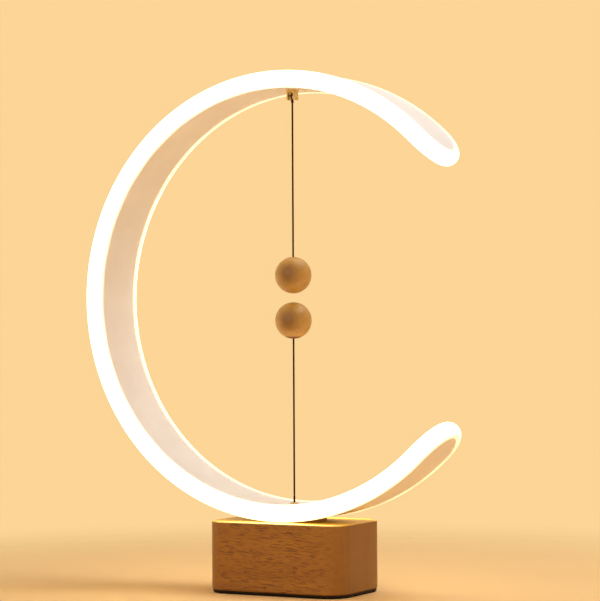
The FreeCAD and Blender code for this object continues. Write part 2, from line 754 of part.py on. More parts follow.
def make_return_spring():
    helix = doc.addObject("Part::Helix", "spring_path")
    span = f"({BRACKET_FOOT}) - stop_top - 2 * spring_wire"
    helix.setExpression("Radius", cells("spring_radius"))
    helix.setExpression("Height", cells(span))
    helix.setExpression("Pitch", cells(f"({span}) / spring_turns"))
    place(helix, ("0", "0", "stop_top + spring_wire"))
    wire = doc.addObject("Part::Circle", "spring_section")
    wire.setExpression("Radius", cells("spring_wire"))
    place(wire, ("spring_radius", "0", "stop_top + spring_wire"), Rotation(Vector(1, 0, 0), 90))
    spring = doc.addObject("Part::Sweep", "return_spring")
    spring.Sections = [wire]
    spring.Spine = (helix, ["Edge1"])
    spring.Solid = True
    spring.Frenet = True


def make_pull_cord():
    low = "stop_top - stop_thickness - knot_radius"
    washer = rod("stop_disc", ("0", "0", "stop_top - stop_thickness"), "stop_radius", "stop_thickness")
    cut("cord_stop", washer, rod("stop_hole", ("0", "0", "0"), "cord_radius + 0.1", "2 * stop_top"))
    line = rod("pull_line", ("0", "0", low), "cord_radius", f"lower_bend_height - cord_gap - ({low})")
    knot = primitive("Sphere", "pull_knot", ("0", "0", low), Radius="knot_radius")
    fuse("pull_cord", line, knot)


# ---- what joins the band to the base -------------------------------------------------------------------

def make_ring_fixing():
    top = "pad_thickness + plate_thickness + base_height"
    across = ("ring_shift - saddle_half_length", "ring_shift + saddle_half_length")
    plain = block("plain_saddle", across, ("-saddle_half_depth", "saddle_half_depth"), (top, top + " + 5"))
    cut("ring_saddle", plain,
        ring_rod("saddle_seat", "ring_radius + hollow_half_thickness + cover_thickness"),
        *fixing_holes("saddle", "0"))

    under = ring_rod("clamp_outside", "ring_radius + hollow_half_thickness")
    above = ring_rod("clamp_inside", "ring_radius + hollow_half_thickness - clamp_thickness")
    sheet_ring = cut("clamp_ring", under, above)
    piece = block("clamp_piece", across, ("-clamp_half_depth", "clamp_half_depth"), (top, top + " + 12"))
    cut("clamp_plate", common("plain_clamp", sheet_ring, piece), *fixing_holes("clamp", "0"))

    screws = []
    for number, x in enumerate(("-ring_screw_place", "ring_screw_place")):
        shank = rod(f"ring_screw_shank_{number}", (x, "0", BRACKET_FOOT), "ring_screw_radius",
                    f"ring_screw_top - ({BRACKET_FOOT})")
        head = rod(f"ring_screw_head_{number}", (x, "0", BRACKET_FOOT + " - 1.8"), "ring_screw_head", "1.8")
        screws.append(fuse(f"ring_screw_{number}", shank, head))
    group("ring_screws", screws)


def make_eyelet():
    """A turned eyelet with a flared mouth, where the pull cord leaves the inner cover."""
    part = body("eyelet", ("0", "0", "ring_height - ring_radius + hollow_half_thickness + cover_thickness + 0.05"))
    profile = sketch(part, "eyelet_profile", "XZ")
    outline(profile, [("0.9", "-2.2"), ("1.6", "-2.2"), ("1.6", "0"), ("2.5", "0"), ("2.5", "0.5"),
                      ("2.1", "0.8"), ("1.4", "0.8"), ("0.9", "0")])
    revolve(part, profile)


def tube(route, radius, bends):
    """A round lead along straight runs joined by tangent arcs."""
    edges = []
    start = route[0]
    for before, corner, after, bend in zip(route, route[1:], route[2:], bends):
        inward = (before - corner).normalize()
        outward = (after - corner).normalize()
        half_turn = (math.pi - inward.getAngle(outward)) / 2
        back = bend * math.tan(half_turn)
        enter, leave = corner + inward * back, corner + outward * back
        bisector = (inward + outward).normalize()
        middle = corner + bisector * (bend / math.cos(half_turn) - bend)
        edges += [Part.LineSegment(start, enter).toShape(), Part.Arc(enter, middle, leave).toShape()]
        start = leave
    edges.append(Part.LineSegment(start, route[-1]).toShape())
    path = Part.Wire(edges)
    section = Part.Wire([Part.Circle(route[0], route[1] - route[0], radius).toShape()])
    solid = path.makePipeShell([section], True, False)
    expected = math.pi * radius ** 2 * path.Length
    print(f"lead radii {[round(bend, 2) for bend in bends]}, volume {solid.Volume / expected:.4f} of expected")
    return solid


def make_power_leads():
    """Two leads from the board up through the top of the base to the light strip."""
    place_x, radius = size("lead_place"), size("lead_radius")
    board, level = size(BOARD_TOP), size("ring_height - ring_radius")
    flex = -(HALF_DEPTH - size("flex_inset + flex_thickness"))
    leads = []
    for side in (-1, 1):
        x = place_x + side * 1.4 * radius
        route = [Vector(x + 1, -4, board), Vector(x + 1, -4, board + 11), Vector(x, 0, board + 23),
                 Vector(x, 0, level), Vector(x, flex, level)]
        runs = [(b - a).Length for a, b in zip(route, route[1:])]
        turns = [(b - a).getAngle(c - b) for a, b, c in zip(route, route[1:], route[2:])]
        bends = [0.45 * min(pair) / math.tan(turn / 2) for pair, turn in zip(zip(runs, runs[1:]), turns)]
        bends[-1] = 6 * radius
        leads.append(tube(route, radius, bends))
    free_form("power_leads", Part.Compound(leads))


# ---- the balls and their cords -------------------------------------------------------------------------

def half_disc(profile, radius):
    """The right half of a disc, drawn as an arc closed by a line on the axis."""
    value = size(radius)
    arc = Part.ArcOfCircle(Part.Circle(Vector(), Vector(0, 0, 1), value), -math.pi / 2, math.pi / 2)
    round_side = profile.addGeometry(arc)
    axis_side = profile.addGeometry(Part.LineSegment(Vector(0, value, 0), Vector(0, -value, 0)))
    profile.addConstraint(Sketcher.Constraint("Coincident", round_side, 2, axis_side, 1))
    profile.addConstraint(Sketcher.Constraint("Coincident", round_side, 1, axis_side, 2))
    profile.addConstraint(Sketcher.Constraint("Coincident", round_side, 3, -1, 1))
    profile.addConstraint(Sketcher.Constraint("PointOnObject", round_side, 1, -2))
    hold(profile, round_side, 2, ("0", radius))


def make_ball(name, height, turn, cord_side):
    """A wooden ball bored from the cord's side, with a magnet at the bottom of the bore and a plug that
    the cord comes out of. It is modelled with the bore upward and then turned."""
    ball = body(f"{name}_ball", ("0", "0", height), turn)
    profile = sketch(ball, f"{name}_ball_profile", "XZ")
    half_disc(profile, "ball_radius")
    revolve(ball, profile)
    bore = sketch(ball, f"{name}_bore_plan", "XY", "ball_wall - ball_radius")
    circle(bore, ("0", "0"), "bore_radius")
    feature(ball, "Pocket", f"{name}_bore", bore, Length="2 * ball_radius", Reversed=True)

    up = "" if cord_side > 0 else "-"

    def level(text):
        return f"{height} + {cord_side} * ({text})"

    magnet_foot = level("ball_wall - ball_radius + 0.05")
    rod(f"{name}_magnet", ("0", "0", magnet_foot), "magnet_radius", "magnet_height", turn)
    plug_foot = "ball_wall - ball_radius + magnet_height + knot_room"
    sphere = primitive("Sphere", f"{name}_plug_dome", ("0", "0", height), Radius="ball_radius")
    core = rod(f"{name}_plug_core", ("0", "0", level(plug_foot)), "plug_radius", "ball_radius", turn)
    hole = rod(f"{name}_plug_hole", ("0", "0", height), "plug_hole", "2 * ball_radius", turn)
    cut(f"{name}_plug", common(f"{name}_plug_round", sphere, core), hole)

    knot = level(plug_foot + " - knot_radius - 0.1")
    end = "upper_knot_height - 2 * cord_gap" if cord_side > 0 else "lower_bend_height + cord_gap"
    line = rod(f"{name}_line", ("0", "0", knot), "cord_radius", f"{up}(({end}) - ({knot}))", turn)
    ball_knot = primitive("Sphere", f"{name}_ball_knot", ("0", "0", knot), Radius="knot_radius")
    fuse(f"{name}_cord", line, ball_knot)


def make_anchor():
    """The block under the top of the band, with an arched tunnel and a pin that the upper cord hangs on."""
    half = "anchor_width / 2"
    blank = block("anchor_blank", (f"-{half}", half), (f"-{half}", half), ("anchor_foot", "anchor_foot + 8"))
    seated = common("seated_anchor", blank,
                    ring_rod("anchor_seat", "ring_radius - hollow_half_thickness - cover_thickness"))
    stud = rod("anchor_stud", ("0", "0", "tunnel_top + 0.5"), "stud_radius", "stud_top - tunnel_top - 0.5")
    walls = block("tunnel_walls", ("-tunnel_half_width", "tunnel_half_width"), ("-anchor_width", "anchor_width"),
                  ("anchor_foot - 1", "tunnel_top - tunnel_half_width"))
    arch = rod("tunnel_arch", ("0", "-anchor_width", "tunnel_top - tunnel_half_width"), "tunnel_half_width",
               "2 * anchor_width", ALONG_Y)
    bore = rod("pin_bore", ("-anchor_width", "0", "pin_height"), "pin_radius", "2 * anchor_width", ALONG_X)
    cut("cord_anchor", fuse("whole_anchor", seated, stud), walls, arch, bore)
    rod("anchor_pin", (f"-{half}", "0", "pin_height"), "pin_radius", "anchor_width", ALONG_X)

    nut = primitive("Prism", "plain_nut",
                    ("0", "0", "ring_height + ring_radius - hollow_half_thickness + 0.02"),
                    Circumradius="2.3", Height="1.6")
    cut("anchor_nut", nut, rod("nut_bore", ("0", "0", "pin_height"), "stud_radius", "10"))

    loop = primitive("Torus", "cord_eye", ("0", "0", "pin_height"), AGAINST_X, Radius1="loop_radius",
                     Radius2="cord_radius")
    tail = rod("eye_tail", ("0", "0", "upper_knot_height"), "cord_radius",
               "pin_height - loop_radius - upper_knot_height")
    knot = primitive("Sphere", "eye_knot", ("0", "0", "upper_knot_height"), Radius="2 * cord_radius")
    fuse("cord_loop", loop, tail, knot)
    primitive("Sphere", "cord_bend", ("0", "0", "lower_bend_height"), Radius="cord_radius")


# ---- build, check and write ----------------------------------------------------------------------------

PARTS = ["base_block", "bottom_cover", "foot_pad", "cover_screws", "ballast_weight", "ballast_screws",
         "circuit_board", "board_screws", "capacitor", "driver_chip", "inductor", "usb_shell", "usb_tongue",
         "switch_body", "switch_plunger", "switch_lever", "lever_pivot_pin", "switch_bracket", "return_spring",
         "cord_stop", "pull_cord", "eyelet", "ring_saddle", "clamp_plate", "ring_screws", "power_leads",
         "outer_cover", "inner_cover", "diffuser", "led_strip", "led_packages", "cord_anchor", "anchor_nut",
         "anchor_pin", "cord_loop", "upper_cord", "upper_ball", "upper_magnet", "upper_plug", "cord_bend",
         "lower_cord", "lower_ball", "lower_magnet", "lower_plug"]

make_diffuser()
make_covers()
make_light_strip()
make_base_block()
make_bottom_cover()
make_foot_pad()
make_cover_screws()
make_circuit_board()
make_ballast()
make_usb_socket()
make_switch()
make_switch_lever()
make_switch_bracket()
make_return_spring()
make_pull_cord()
make_ring_fixing()
make_eyelet()
make_power_leads()
make_ball("upper", "upper_ball_height", UPRIGHT, 1)
make_ball("lower", "lower_ball_height", UPSIDE_DOWN, -1)
make_anchor()
doc.recompute()

for obj in doc.Objects:
    if {"Invalid", "Error"} & set(obj.State):
        raise RuntimeError(f"{obj.Name}: {obj.State}")
for name in PARTS:
    shape = doc.getObject(name).Shape
    if shape.isNull() or not shape.isValid():
        raise RuntimeError(f"{name} has no valid shape")

os.makedirs("parts", exist_ok=True)
for name in PARTS:
    shape = doc.getObject(name).Shape
    shape.exportStep(f"parts/{name}.step")
    print(f"{name}: {len(shape.Solids)} solid(s), {shape.Volume / 1000:.3f} cm3")
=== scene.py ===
"""Magnetic balance lamp: its finishes, its twisted cords, and the pale room it stands in."""

import math

import bpy
from mathutils import Matrix, Vector


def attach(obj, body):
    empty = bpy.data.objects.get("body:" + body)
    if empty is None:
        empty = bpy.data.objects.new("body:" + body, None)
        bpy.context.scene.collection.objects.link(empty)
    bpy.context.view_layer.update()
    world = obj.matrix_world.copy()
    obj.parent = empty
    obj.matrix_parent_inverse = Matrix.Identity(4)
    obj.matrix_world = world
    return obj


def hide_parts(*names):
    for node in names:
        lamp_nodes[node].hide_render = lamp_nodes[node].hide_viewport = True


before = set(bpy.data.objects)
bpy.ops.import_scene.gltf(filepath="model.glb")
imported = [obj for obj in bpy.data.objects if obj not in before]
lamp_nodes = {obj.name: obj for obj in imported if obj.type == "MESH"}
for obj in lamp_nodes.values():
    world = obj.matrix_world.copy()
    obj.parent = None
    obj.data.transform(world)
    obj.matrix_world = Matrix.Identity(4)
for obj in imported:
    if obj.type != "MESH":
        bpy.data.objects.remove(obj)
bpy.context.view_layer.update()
scene = bpy.context.scene

# The band, in metres and degrees. The lip is the lit edge that shows beside its skins.
BAND_CENTRE_X = -0.0006
BAND_CENTRE_Z = 0.182
BAND_RADIUS = 0.1327
BAND_HALF_DEPTH = 0.0244
TIP_LENGTH = 0.024
TIP_ANGLE = 144.2
LIP_DEPTH = 0.0062

# Heights of the balls' centres and of the cords' ends, in metres.
UPPER_BALL_CENTRE = 0.1951
LOWER_BALL_CENTRE = 0.1671
UPPER_KNOT = 0.3026
UPPER_CORD_TOP = 0.3013
LOWER_CORD_FOOT = 0.06035

# The cords, in metres. A strand makes one turn in each lay.
CORD_DIAMETER = 0.0012
CORD_LAY = 0.0042
EYE_DIAMETER = 0.001
EYE_LAY = 0.0032
WHIPPING_RADIUS = 0.00019
STRAND_SIDES = 8

# Where one look gives way to the next: the two places, in metres, that it changes between.
BLOCK_END = (0.0345, 0.0455)
BLOCK_TOP = (0.0432, 0.0437)
# The next two bound the dark patch painted as shade on each ball.
SHADE_PATCH_RIM = (0.0095, 0.0015)
SHADE_PATCH_DEPTH = (0.0, 0.004)
STRIP_OUTSIDE = (0.0028, 0.005)
STRIP_INSIDE = (0.0034, 0.0052)
SKIN_EDGE = (0.0159, 0.0181)
PAD_END = (0.006, 0.0068)
CAN_TOP = (0.0182, 0.01835)
CAN_STRIPE = (-0.0068, -0.0065)
LEAD_GAP = (0.0084, 0.0086)
FLOOR_FADE = (0.22, 0.55)

# The room, in metres.
FLOOR_RADIUS = 0.6
LAMP_MIDDLE = Vector((0, 0, 0.16))


# ---------------------------------------------------------------- nodes and values


def tone(red, green, blue):
    """A colour given as screen values from 0 to 255, for a shader's socket."""
    steps = [c / 255 for c in (red, green, blue)]
    return [c / 12.92 if c <= 0.04045 else ((c + 0.055) / 1.055) ** 2.4 for c in steps] + [1.0]


class Value:
    """What a node gives. Sums, products and powers of Values add their Math nodes."""

    def __init__(self, nodes, socket):
        self.nodes = nodes
        self.socket = socket

    def also(self, output):
        """Another output of the same node."""
        return Value(self.nodes, self.socket.node.outputs[output])

    def __add__(self, other):
        return self.nodes.maths("ADD", self, other)

    __radd__ = __add__

    def __mul__(self, other):
        return self.nodes.maths("MULTIPLY", self, other)

    __rmul__ = __mul__

    def __sub__(self, other):
        return self.nodes.maths("SUBTRACT", self, other)

    def __rsub__(self, other):
        return self.nodes.maths("SUBTRACT", other, self)

    def __truediv__(self, other):
        return self.nodes.maths("DIVIDE", self, other)

    def __rtruediv__(self, other):
        return self.nodes.maths("DIVIDE", other, self)

    def __pow__(self, other):
        return self.nodes.maths("POWER", self, other)

    def __abs__(self):
        return self.nodes.maths("ABSOLUTE", self)


class Nodes:
    """A tree of nodes, with one method that adds any node."""

    def __init__(self, tree):
        self.tree = tree

    def add(self, kind, sockets=None, output=0, **settings):
        """Adds a node: first its settings, then its sockets' values or links, by name or number."""
        node = self.tree.nodes.new(kind)
        for name, setting in settings.items():
            if name == "stops":
                ramp = node.color_ramp.elements
                while len(ramp) < len(setting):
                    ramp.new(1.0)
                for element, (position, colour) in zip(ramp, setting):
                    element.position = position
                    element.color = colour
            else:
                setattr(node, name, setting)
        for key, amount in (sockets or {}).items():
            self.join(amount, node.inputs[key])
        return Value(self, node.outputs[output]) if node.outputs else None

    def join(self, amount, socket):
        """Sets a socket to an amount, or links a Value to it."""
        if isinstance(amount, Value):
            self.tree.links.new(amount.socket, socket)
        else:
            socket.default_value = amount

    def maths(self, operation, *amounts):
        return self.add("ShaderNodeMath", dict(enumerate(amounts)), operation=operation)


class Finish(Nodes):
    """One surface finish, worked out from the place on the piece."""

    def __init__(self, name, **steady):
        self.material = bpy.data.materials.new(name)
        self.material.use_nodes = True
        super().__init__(self.material.node_tree)
        self.shader = self.tree.nodes["Principled BSDF"]
        self.wear(**steady)
        self.place = self.add("ShaderNodeTexCoord", output="Object")

    def wear(self, **qualities):
        """Gives the shader its qualities: steady amounts, or Values that vary over the surface."""
        for quality, amount in qualities.items():
            self.join(amount, self.shader.inputs[quality.replace("_", " ")])

    def parts(self, vector):
        """The three components of a vector."""
        first = self.add("ShaderNodeSeparateXYZ", {0: vector})
        return first, first.also(1), first.also(2)

    def placed(self, scale=(1, 1, 1), turn=(0, 0, 0), centre=(0, 0, 0), vector=None):
        """Coordinates on the piece, moved by centre, turned in degrees and then scaled."""
        turned = self.add(
            "ShaderNodeMapping",
            {
                "Vector": vector or self.place,
                "Location": centre,
                "Rotation": [math.radians(a) for a in turn],
            },
            vector_type="TEXTURE",
        )
        return self.add("ShaderNodeVectorMath", {0: turned, 1: scale}, operation="MULTIPLY")

    def noise(self, scale, vector=None, detail=2.0, roughness=0.5, distortion=0.0):
        """Smooth noise from 0 to 1, with a feature about every 1 / scale metres."""
        return self.add(
            "ShaderNodeTexNoise",
            {
                "Vector": vector or self.place,
                "Scale": scale,
                "Detail": detail,
                "Roughness": roughness,
                "Distortion": distortion,
            },
        )

    def grain(self, fineness, turn=(0, 0, 0), centre=(0, 0, 0), vector=None, **character):
        """Noise with its own fineness along each axis, in features a metre."""
        return self.noise(1.0, self.placed(fineness, turn, centre, vector), **character)

    def wave(self, angle):
        """A wave between 0 and 1."""
        return self.maths("SINE", angle) * 0.5 + 0.5

    def step(self, amount, low, high):
        """0 below low, 1 above high, and smooth between. It falls where low is above high."""
        return self.add(
            "ShaderNodeMapRange",
            {"Value": amount, "From Min": low, "From Max": high},
            interpolation_type="SMOOTHSTEP",
        )

    def mix(self, share, first, second):
        """The colour that goes from first, at share 0, to second, at share 1."""
        return self.add(
            "ShaderNodeMix", {0: share, 6: first, 7: second}, output=2, data_type="RGBA"
        )

    def shades(self, amount, *stops):
        """A colour for each amount, from (amount, colour) stops."""
        return self.add("ShaderNodeValToRGB", {"Fac": amount}, stops=stops)

    def relief(self, height, depth):
        """Raises the surface: where height is 1 it seems depth metres proud."""
        self.wear(Normal=self.add("ShaderNodeBump", {"Height": height, "Distance": depth}))


def distance(across, up):
    """How far a place is from the middle, by its amounts along two axes."""
    return (across * across + up * up) ** 0.5


def turn_round_band(x, z):
    """The angle round the band, in radians, from the side away from its mouth."""
    return x.nodes.maths("ARCTAN2", z - BAND_CENTRE_Z, BAND_CENTRE_X - x)


# ---------------------------------------------------------------- finishes


def beech_block():
    """Oiled beech with its grain along X: slanting dark flecks on its sides, and a lacquered top
    tinted yellow as painted light from the glowing band.
    """
    wood = Finish("oiled beech block", Coat_Roughness=0.28)
    x, _, z = wood.parts(wood.place)
    end = wood.step(abs(x), *BLOCK_END)
    side = 1.0 - end
    top = wood.step(z, *BLOCK_TOP)
    drift = wood.grain((14, 30, 30))
    bands = wood.grain(
        (9, 55, 190), turn=(0, 1.5, 0), detail=4.0, roughness=0.62, distortion=0.4
    )
    streaks = wood.grain((70, 900, 1300), turn=(0, 3, 0), detail=3.0, roughness=0.6)
    upright = wood.grain((30, 260, 20), distortion=0.5)
    pores = wood.grain((900, 6500, 6500), roughness=0.6)
    flecks = wood.grain(
        (175, 500, 2500), turn=(0, 3.5, 0), detail=1.0, roughness=0.4, distortion=0.15
    )
    fleck = wood.step(flecks, 0.585, 0.635)
    small_flecks = wood.grain((230, 600, 2900), turn=(0, 5, 0), centre=(0.3, 0.1, 0.2))
    small_fleck = wood.step(small_flecks, 0.56, 0.66)
    colour = wood.shades(
        bands * 0.7 + drift * 0.3,
        (0.30, tone(151, 96, 23)),
        (0.48, tone(164, 107, 26)),
        (0.68, tone(176, 119, 34)),
    )
    colour = wood.mix(wood.step(streaks, 0.42, 0.75) * 0.3, colour, tone(136, 78, 30))
    colour = wood.mix(small_fleck * (0.12 + side * 0.3), colour, tone(122, 68, 24))
    colour = wood.mix(fleck * (0.12 + side * 0.62), colour, tone(100, 52, 16))
    colour = wood.mix(end * wood.step(upright, 0.4, 0.7) * 0.4, colour, tone(176, 122, 60))
    colour = wood.mix(end * 0.45, colour, tone(122, 82, 18))
    # Painted light: the top face is tinted yellow, as if lit by the band's glow just above it.
    colour = wood.mix(top * 0.8, colour, tone(248, 210, 78))
    wood.wear(
        Base_Color=colour,
        Coat_Weight=top * 0.5 + 0.05,
        Roughness=0.42 + pores * 0.16 - fleck * 0.06,
    )
    wood.relief(
        pores * 0.35 - fleck * side * 0.7 - small_fleck * 0.3 + streaks * 0.2, depth=0.0001
    )
    return wood.material


def turned_beech(name, centre_height, turn):
    """A turned ball: end grain with a dark patch painted as shade on one side, rings round it, and
    fine flecks.
    """
    wood = Finish(name, Coat_Weight=0.35, Coat_Roughness=0.36)
    trunk = wood.placed(turn=turn, centre=(0, 0, centre_height))
    across, up, along = wood.parts(trunk)
    out = distance(across, up)
    wander = wood.noise(160.0, trunk)
    rings = wood.wave((out + wander * 0.0022) * 5200.0)
    streaks = wood.grain((1500, 1500, 160), vector=trunk, detail=3.0, roughness=0.6)
    flecks = wood.grain((2100, 2100, 380), vector=trunk, detail=1.5)
    fleck = wood.step(flecks, 0.6, 0.74)
    blotch = wood.noise(95.0, trunk, detail=1.0)
    # Painted shade: a dark patch round the grain's axis on one side, where the ball's middle is in
    # shade.
    painted_shade_patch = wood.step(out + (wander - 0.5) * 0.004, *SHADE_PATCH_RIM) * wood.step(along, *SHADE_PATCH_DEPTH)
    colour = wood.shades(
        streaks * 0.55 + blotch * 0.45,
        (0.32, tone(180, 130, 50)),
        (0.5, tone(199, 150, 64)),
        (0.68, tone(216, 169, 82)),
    )
    colour = wood.mix(rings * 0.16, colour, tone(158, 100, 46))
    # Painted shade: the patch darkens the ball's colour there.
    colour = wood.mix(painted_shade_patch * 0.78, colour, tone(120, 72, 20))
    colour = wood.mix(fleck * 0.5, colour, tone(120, 70, 28))
    wood.wear(Base_Color=colour, Roughness=0.4 + streaks * 0.18)
    wood.relief(streaks * 0.5 - fleck * 0.7 + rings * 0.15, depth=0.00008)
    return wood.material


def plug_beech(name, pale=0.0):
    """The plug that closes a ball, cut across the grain and stained darker unless it is pale."""
    wood = Finish(name, Coat_Weight=0.03, Coat_Roughness=0.4)
    across, deep, _ = wood.parts(wood.place)
    streaks = wood.grain((1700, 320, 900), detail=3.0, roughness=0.6)
    turning = wood.wave(distance(across, deep) * 9500.0)
    colour = wood.shades(
        streaks,
        (0.34, tone(112, 68, 28)),
        (0.52, tone(140, 90, 42)),
        (0.7, tone(166, 112, 58)),
    )
    colour = wood.mix(turning * 0.2, colour, tone(96, 56, 24))
    if pale:
        colour = wood.mix(pale, colour, tone(214, 164, 96))
    wood.wear(Base_Color=colour, Roughness=0.5 + streaks * 0.2)
    wood.relief(turning * 0.4 + streaks * 0.6, depth=0.0001)
    return wood.material


def lit_silicone():
    """Milky silicone lit from behind: brightest on its crest, dimmer where it meets the skins."""
    glow = Finish("lit milky silicone", Emission_Strength=8.5)
    x, y, z = glow.parts(glow.place)
    turn = turn_round_band(x, z)
    # Laid flat, the edge has straight sides and half-elliptical tips. Inward is how far in from
    # that outline a place is.
    straight = math.radians(TIP_ANGLE) * BAND_RADIUS - TIP_LENGTH
    past = glow.maths("MAXIMUM", abs(turn) * BAND_RADIUS - straight, 0.0)
    level = distance(past / TIP_LENGTH, y / BAND_HALF_DEPTH)
    slope = distance(past / TIP_LENGTH**2, y / BAND_HALF_DEPTH**2)
    inward = (1.0 - level) * level / glow.maths("MAXIMUM", slope, 0.001)
    radius = distance(x - BAND_CENTRE_X, z - BAND_CENTRE_Z)
    outer = glow.step(radius - BAND_RADIUS, *STRIP_OUTSIDE)
    inner = glow.step(BAND_RADIUS - radius, *STRIP_INSIDE)
    low_outer = outer * glow.step(inward, 0.4 * LIP_DEPTH, 0.85 * LIP_DEPTH)
    low_inner = inner * glow.step(inward, 0.3 * LIP_DEPTH, 0.8 * LIP_DEPTH)
    lamps = glow.wave(turn * 30.0)
    mottle = glow.noise(260.0)
    foot = glow.step(inward + (mottle - 0.5) * 0.0003, 0.3 * LIP_DEPTH, 0.88 * LIP_DEPTH)
    lit = glow.mix(outer, tone(255, 228, 186), tone(174, 152, 107))
    lit = glow.mix(foot, lit, tone(112, 92, 72))
    lit = glow.mix(low_outer, lit, tone(72, 66, 53))
    lit = glow.mix(low_inner, lit, tone(74, 69, 59))
    lit = glow.mix(lamps * foot * 0.2, lit, tone(150, 120, 84))
    fine = glow.noise(2400.0)
    glow.wear(
        Base_Color=glow.mix(mottle, tone(246, 240, 228), tone(252, 248, 240)),
        Roughness=0.38 + fine * 0.1,
        Emission_Color=lit,
    )
    glow.relief(fine, depth=0.00002)
    return glow.material


def satin_sheet():
    """Satin white sheet of the band's two skins, faintly rolled along its length, with painted warm
    light along its edges beside the lips.
    """
    sheet = Finish("satin white sheet", Coat_Weight=0.1, Coat_Roughness=0.3)
    x, y, z = sheet.parts(sheet.place)
    flat = sheet.add(
        "ShaderNodeCombineXYZ", {0: turn_round_band(x, z) * 16.0, 1: y * 1500.0, 2: 0.0}
    )
    rolled = sheet.noise(1.0, flat, detail=3.0, roughness=0.6)
    cloud = sheet.noise(42.0)
    peel = sheet.noise(1500.0)
    # Painted light: a warm cream tint along the skins' edges, beside the glowing lips, stands for
    # their light spilling onto the sheet.
    edge = sheet.step(abs(y), *SKIN_EDGE)
    colour = sheet.shades(
        cloud * 0.6 + rolled * 0.4,
        (0.35, tone(246, 236, 226)),
        (0.65, tone(252, 244, 236)),
    )
    sheet.wear(
        Base_Color=sheet.mix(edge * 0.35, colour, tone(250, 226, 186)),
        Roughness=0.46 + rolled * 0.1 + peel * 0.05,
    )
    sheet.relief(peel * 0.3 + rolled * 0.7, depth=0.000012)
    return sheet.material


def moulded_black():
    """Black plastic from an eroded mould."""
    plastic = Finish("moulded black plastic", Specular_IOR_Level=0.2)
    sparks = plastic.add("ShaderNodeTexVoronoi", {"Vector": plastic.place, "Scale": 2600.0})
    cloud = plastic.noise(60.0)
    plastic.wear(
        Base_Color=plastic.mix(cloud, tone(12, 6, 4), tone(24, 15, 11)),
        Roughness=0.46 + sparks * 0.2,
    )
    plastic.relief(sparks, depth=0.00006)
    return plastic.material


def foot_rubber():
    """Soft dark rubber with a close diamond grip."""
    rubber = Finish("grip rubber", Specular_IOR_Level=0.2)
    x, y, _ = rubber.parts(rubber.place)
    one_way = rubber.maths("SINE", (x + y) * 2600.0)
    other_way = rubber.maths("SINE", (x - y) * 2600.0)
    grip = rubber.maths("MAXIMUM", one_way, other_way) * 0.5 + 0.5
    dust = rubber.noise(240.0, detail=4.0, roughness=0.65)
    rubber.wear(
        Base_Color=rubber.mix(rubber.step(dust, 0.5, 0.8) * 0.5, tone(12, 7, 5), tone(36, 27, 21)),
        Roughness=0.78 + dust * 0.15,
    )
    rubber.relief(grip + dust * 0.2, depth=0.00018)
    return rubber.material


def drawn_metal(name, dark, light, brushed, base_roughness, tarnish=None):
    """Metal with fine lines along the brushed scale, and a stain where tarnish is given."""
    metal = Finish(name, Metallic=1.0)
    lines = metal.grain(brushed, detail=4.0, roughness=0.65)
    cloud = metal.noise(320.0, detail=3.0, roughness=0.6)
    colour = metal.mix(lines * 0.7 + cloud * 0.3, dark, light)
    stain = metal.step(cloud, 0.52, 0.74)
    if tarnish:
        colour = metal.mix(stain * 0.55, colour, tarnish)
    metal.wear(
        Base_Color=colour,
        Roughness=base_roughness + lines * 0.14 + stain * 0.1,
    )
    metal.relief(lines, depth=0.00002)
    return metal.material


def waxed_cord():
    """Waxed brown cotton, with painted shade between its fibres."""
    cotton = Finish("waxed brown cotton", Specular_IOR_Level=0.02)
    fibres = cotton.grain((9000, 9000, 1300), turn=(12, 8, 0), detail=3.0, roughness=0.6)
    patches = cotton.noise(180.0)
    # Painted shade: the colour is darkest where the fibres' relief is lowest, between them.
    colour = cotton.shades(
        fibres * 0.75 + patches * 0.25,
        (0.32, tone(44, 3, 0)),
        (0.52, tone(72, 9, 0)),
        (0.74, tone(98, 18, 1)),
    )
    cotton.wear(Base_Color=colour, Roughness=0.62 + fibres * 0.2)
    cotton.relief(fibres, depth=0.00006)
    return cotton.material


def lacquered_board():
    """Green board lacquer over faint copper lines."""
    board = Finish("lacquered board", Coat_Weight=0.35, Coat_Roughness=0.15)
    x, y, _ = board.parts(board.place)
    runs = board.maths("SINE", x * 1900.0) * board.maths("SINE", y * 620.0)
    copper = board.step(runs, 0.45, 0.62)
    weave = board.grain((2600, 900, 900))
    lacquer = board.mix(weave, tone(12, 62, 36), tone(20, 84, 50))
    board.wear(
        Base_Color=board.mix(copper * 0.7, lacquer, tone(52, 122, 66)),
        Roughness=0.34 + weave * 0.16,
    )
    board.relief(copper + weave * 0.2, depth=0.00004)
    return board.material


def resin_body():
    """Dark moulded resin of the small components."""
    resin = Finish("component resin")
    specks = resin.noise(5200.0, detail=3.0, roughness=0.6)
    resin.wear(
        Base_Color=resin.mix(specks, tone(22, 22, 24), tone(46, 46, 50)),
        Roughness=0.52 + specks * 0.2,
    )
    resin.relief(specks, depth=0.00003)
    return resin.material


def can_sleeve():
    """Sleeved can with a plain stripe and a bright top."""
    can = Finish("capacitor can")
    x, _, z = can.parts(can.place)
    top = can.step(z, *CAN_TOP)
    stripe = can.step(x, *CAN_STRIPE) * (1.0 - top)
    scuffs = can.noise(900.0, detail=3.0)
    sleeve = can.mix(scuffs, tone(26, 30, 48), tone(38, 44, 66))
    striped = can.mix(stripe, sleeve, tone(190, 194, 204))
    can.wear(
        Base_Color=can.mix(top, striped, tone(204, 204, 206)),
        Metallic=top,
        Roughness=0.32 + scuffs * 0.15,
    )
    can.relief(scuffs, depth=0.00002)
    return can.material


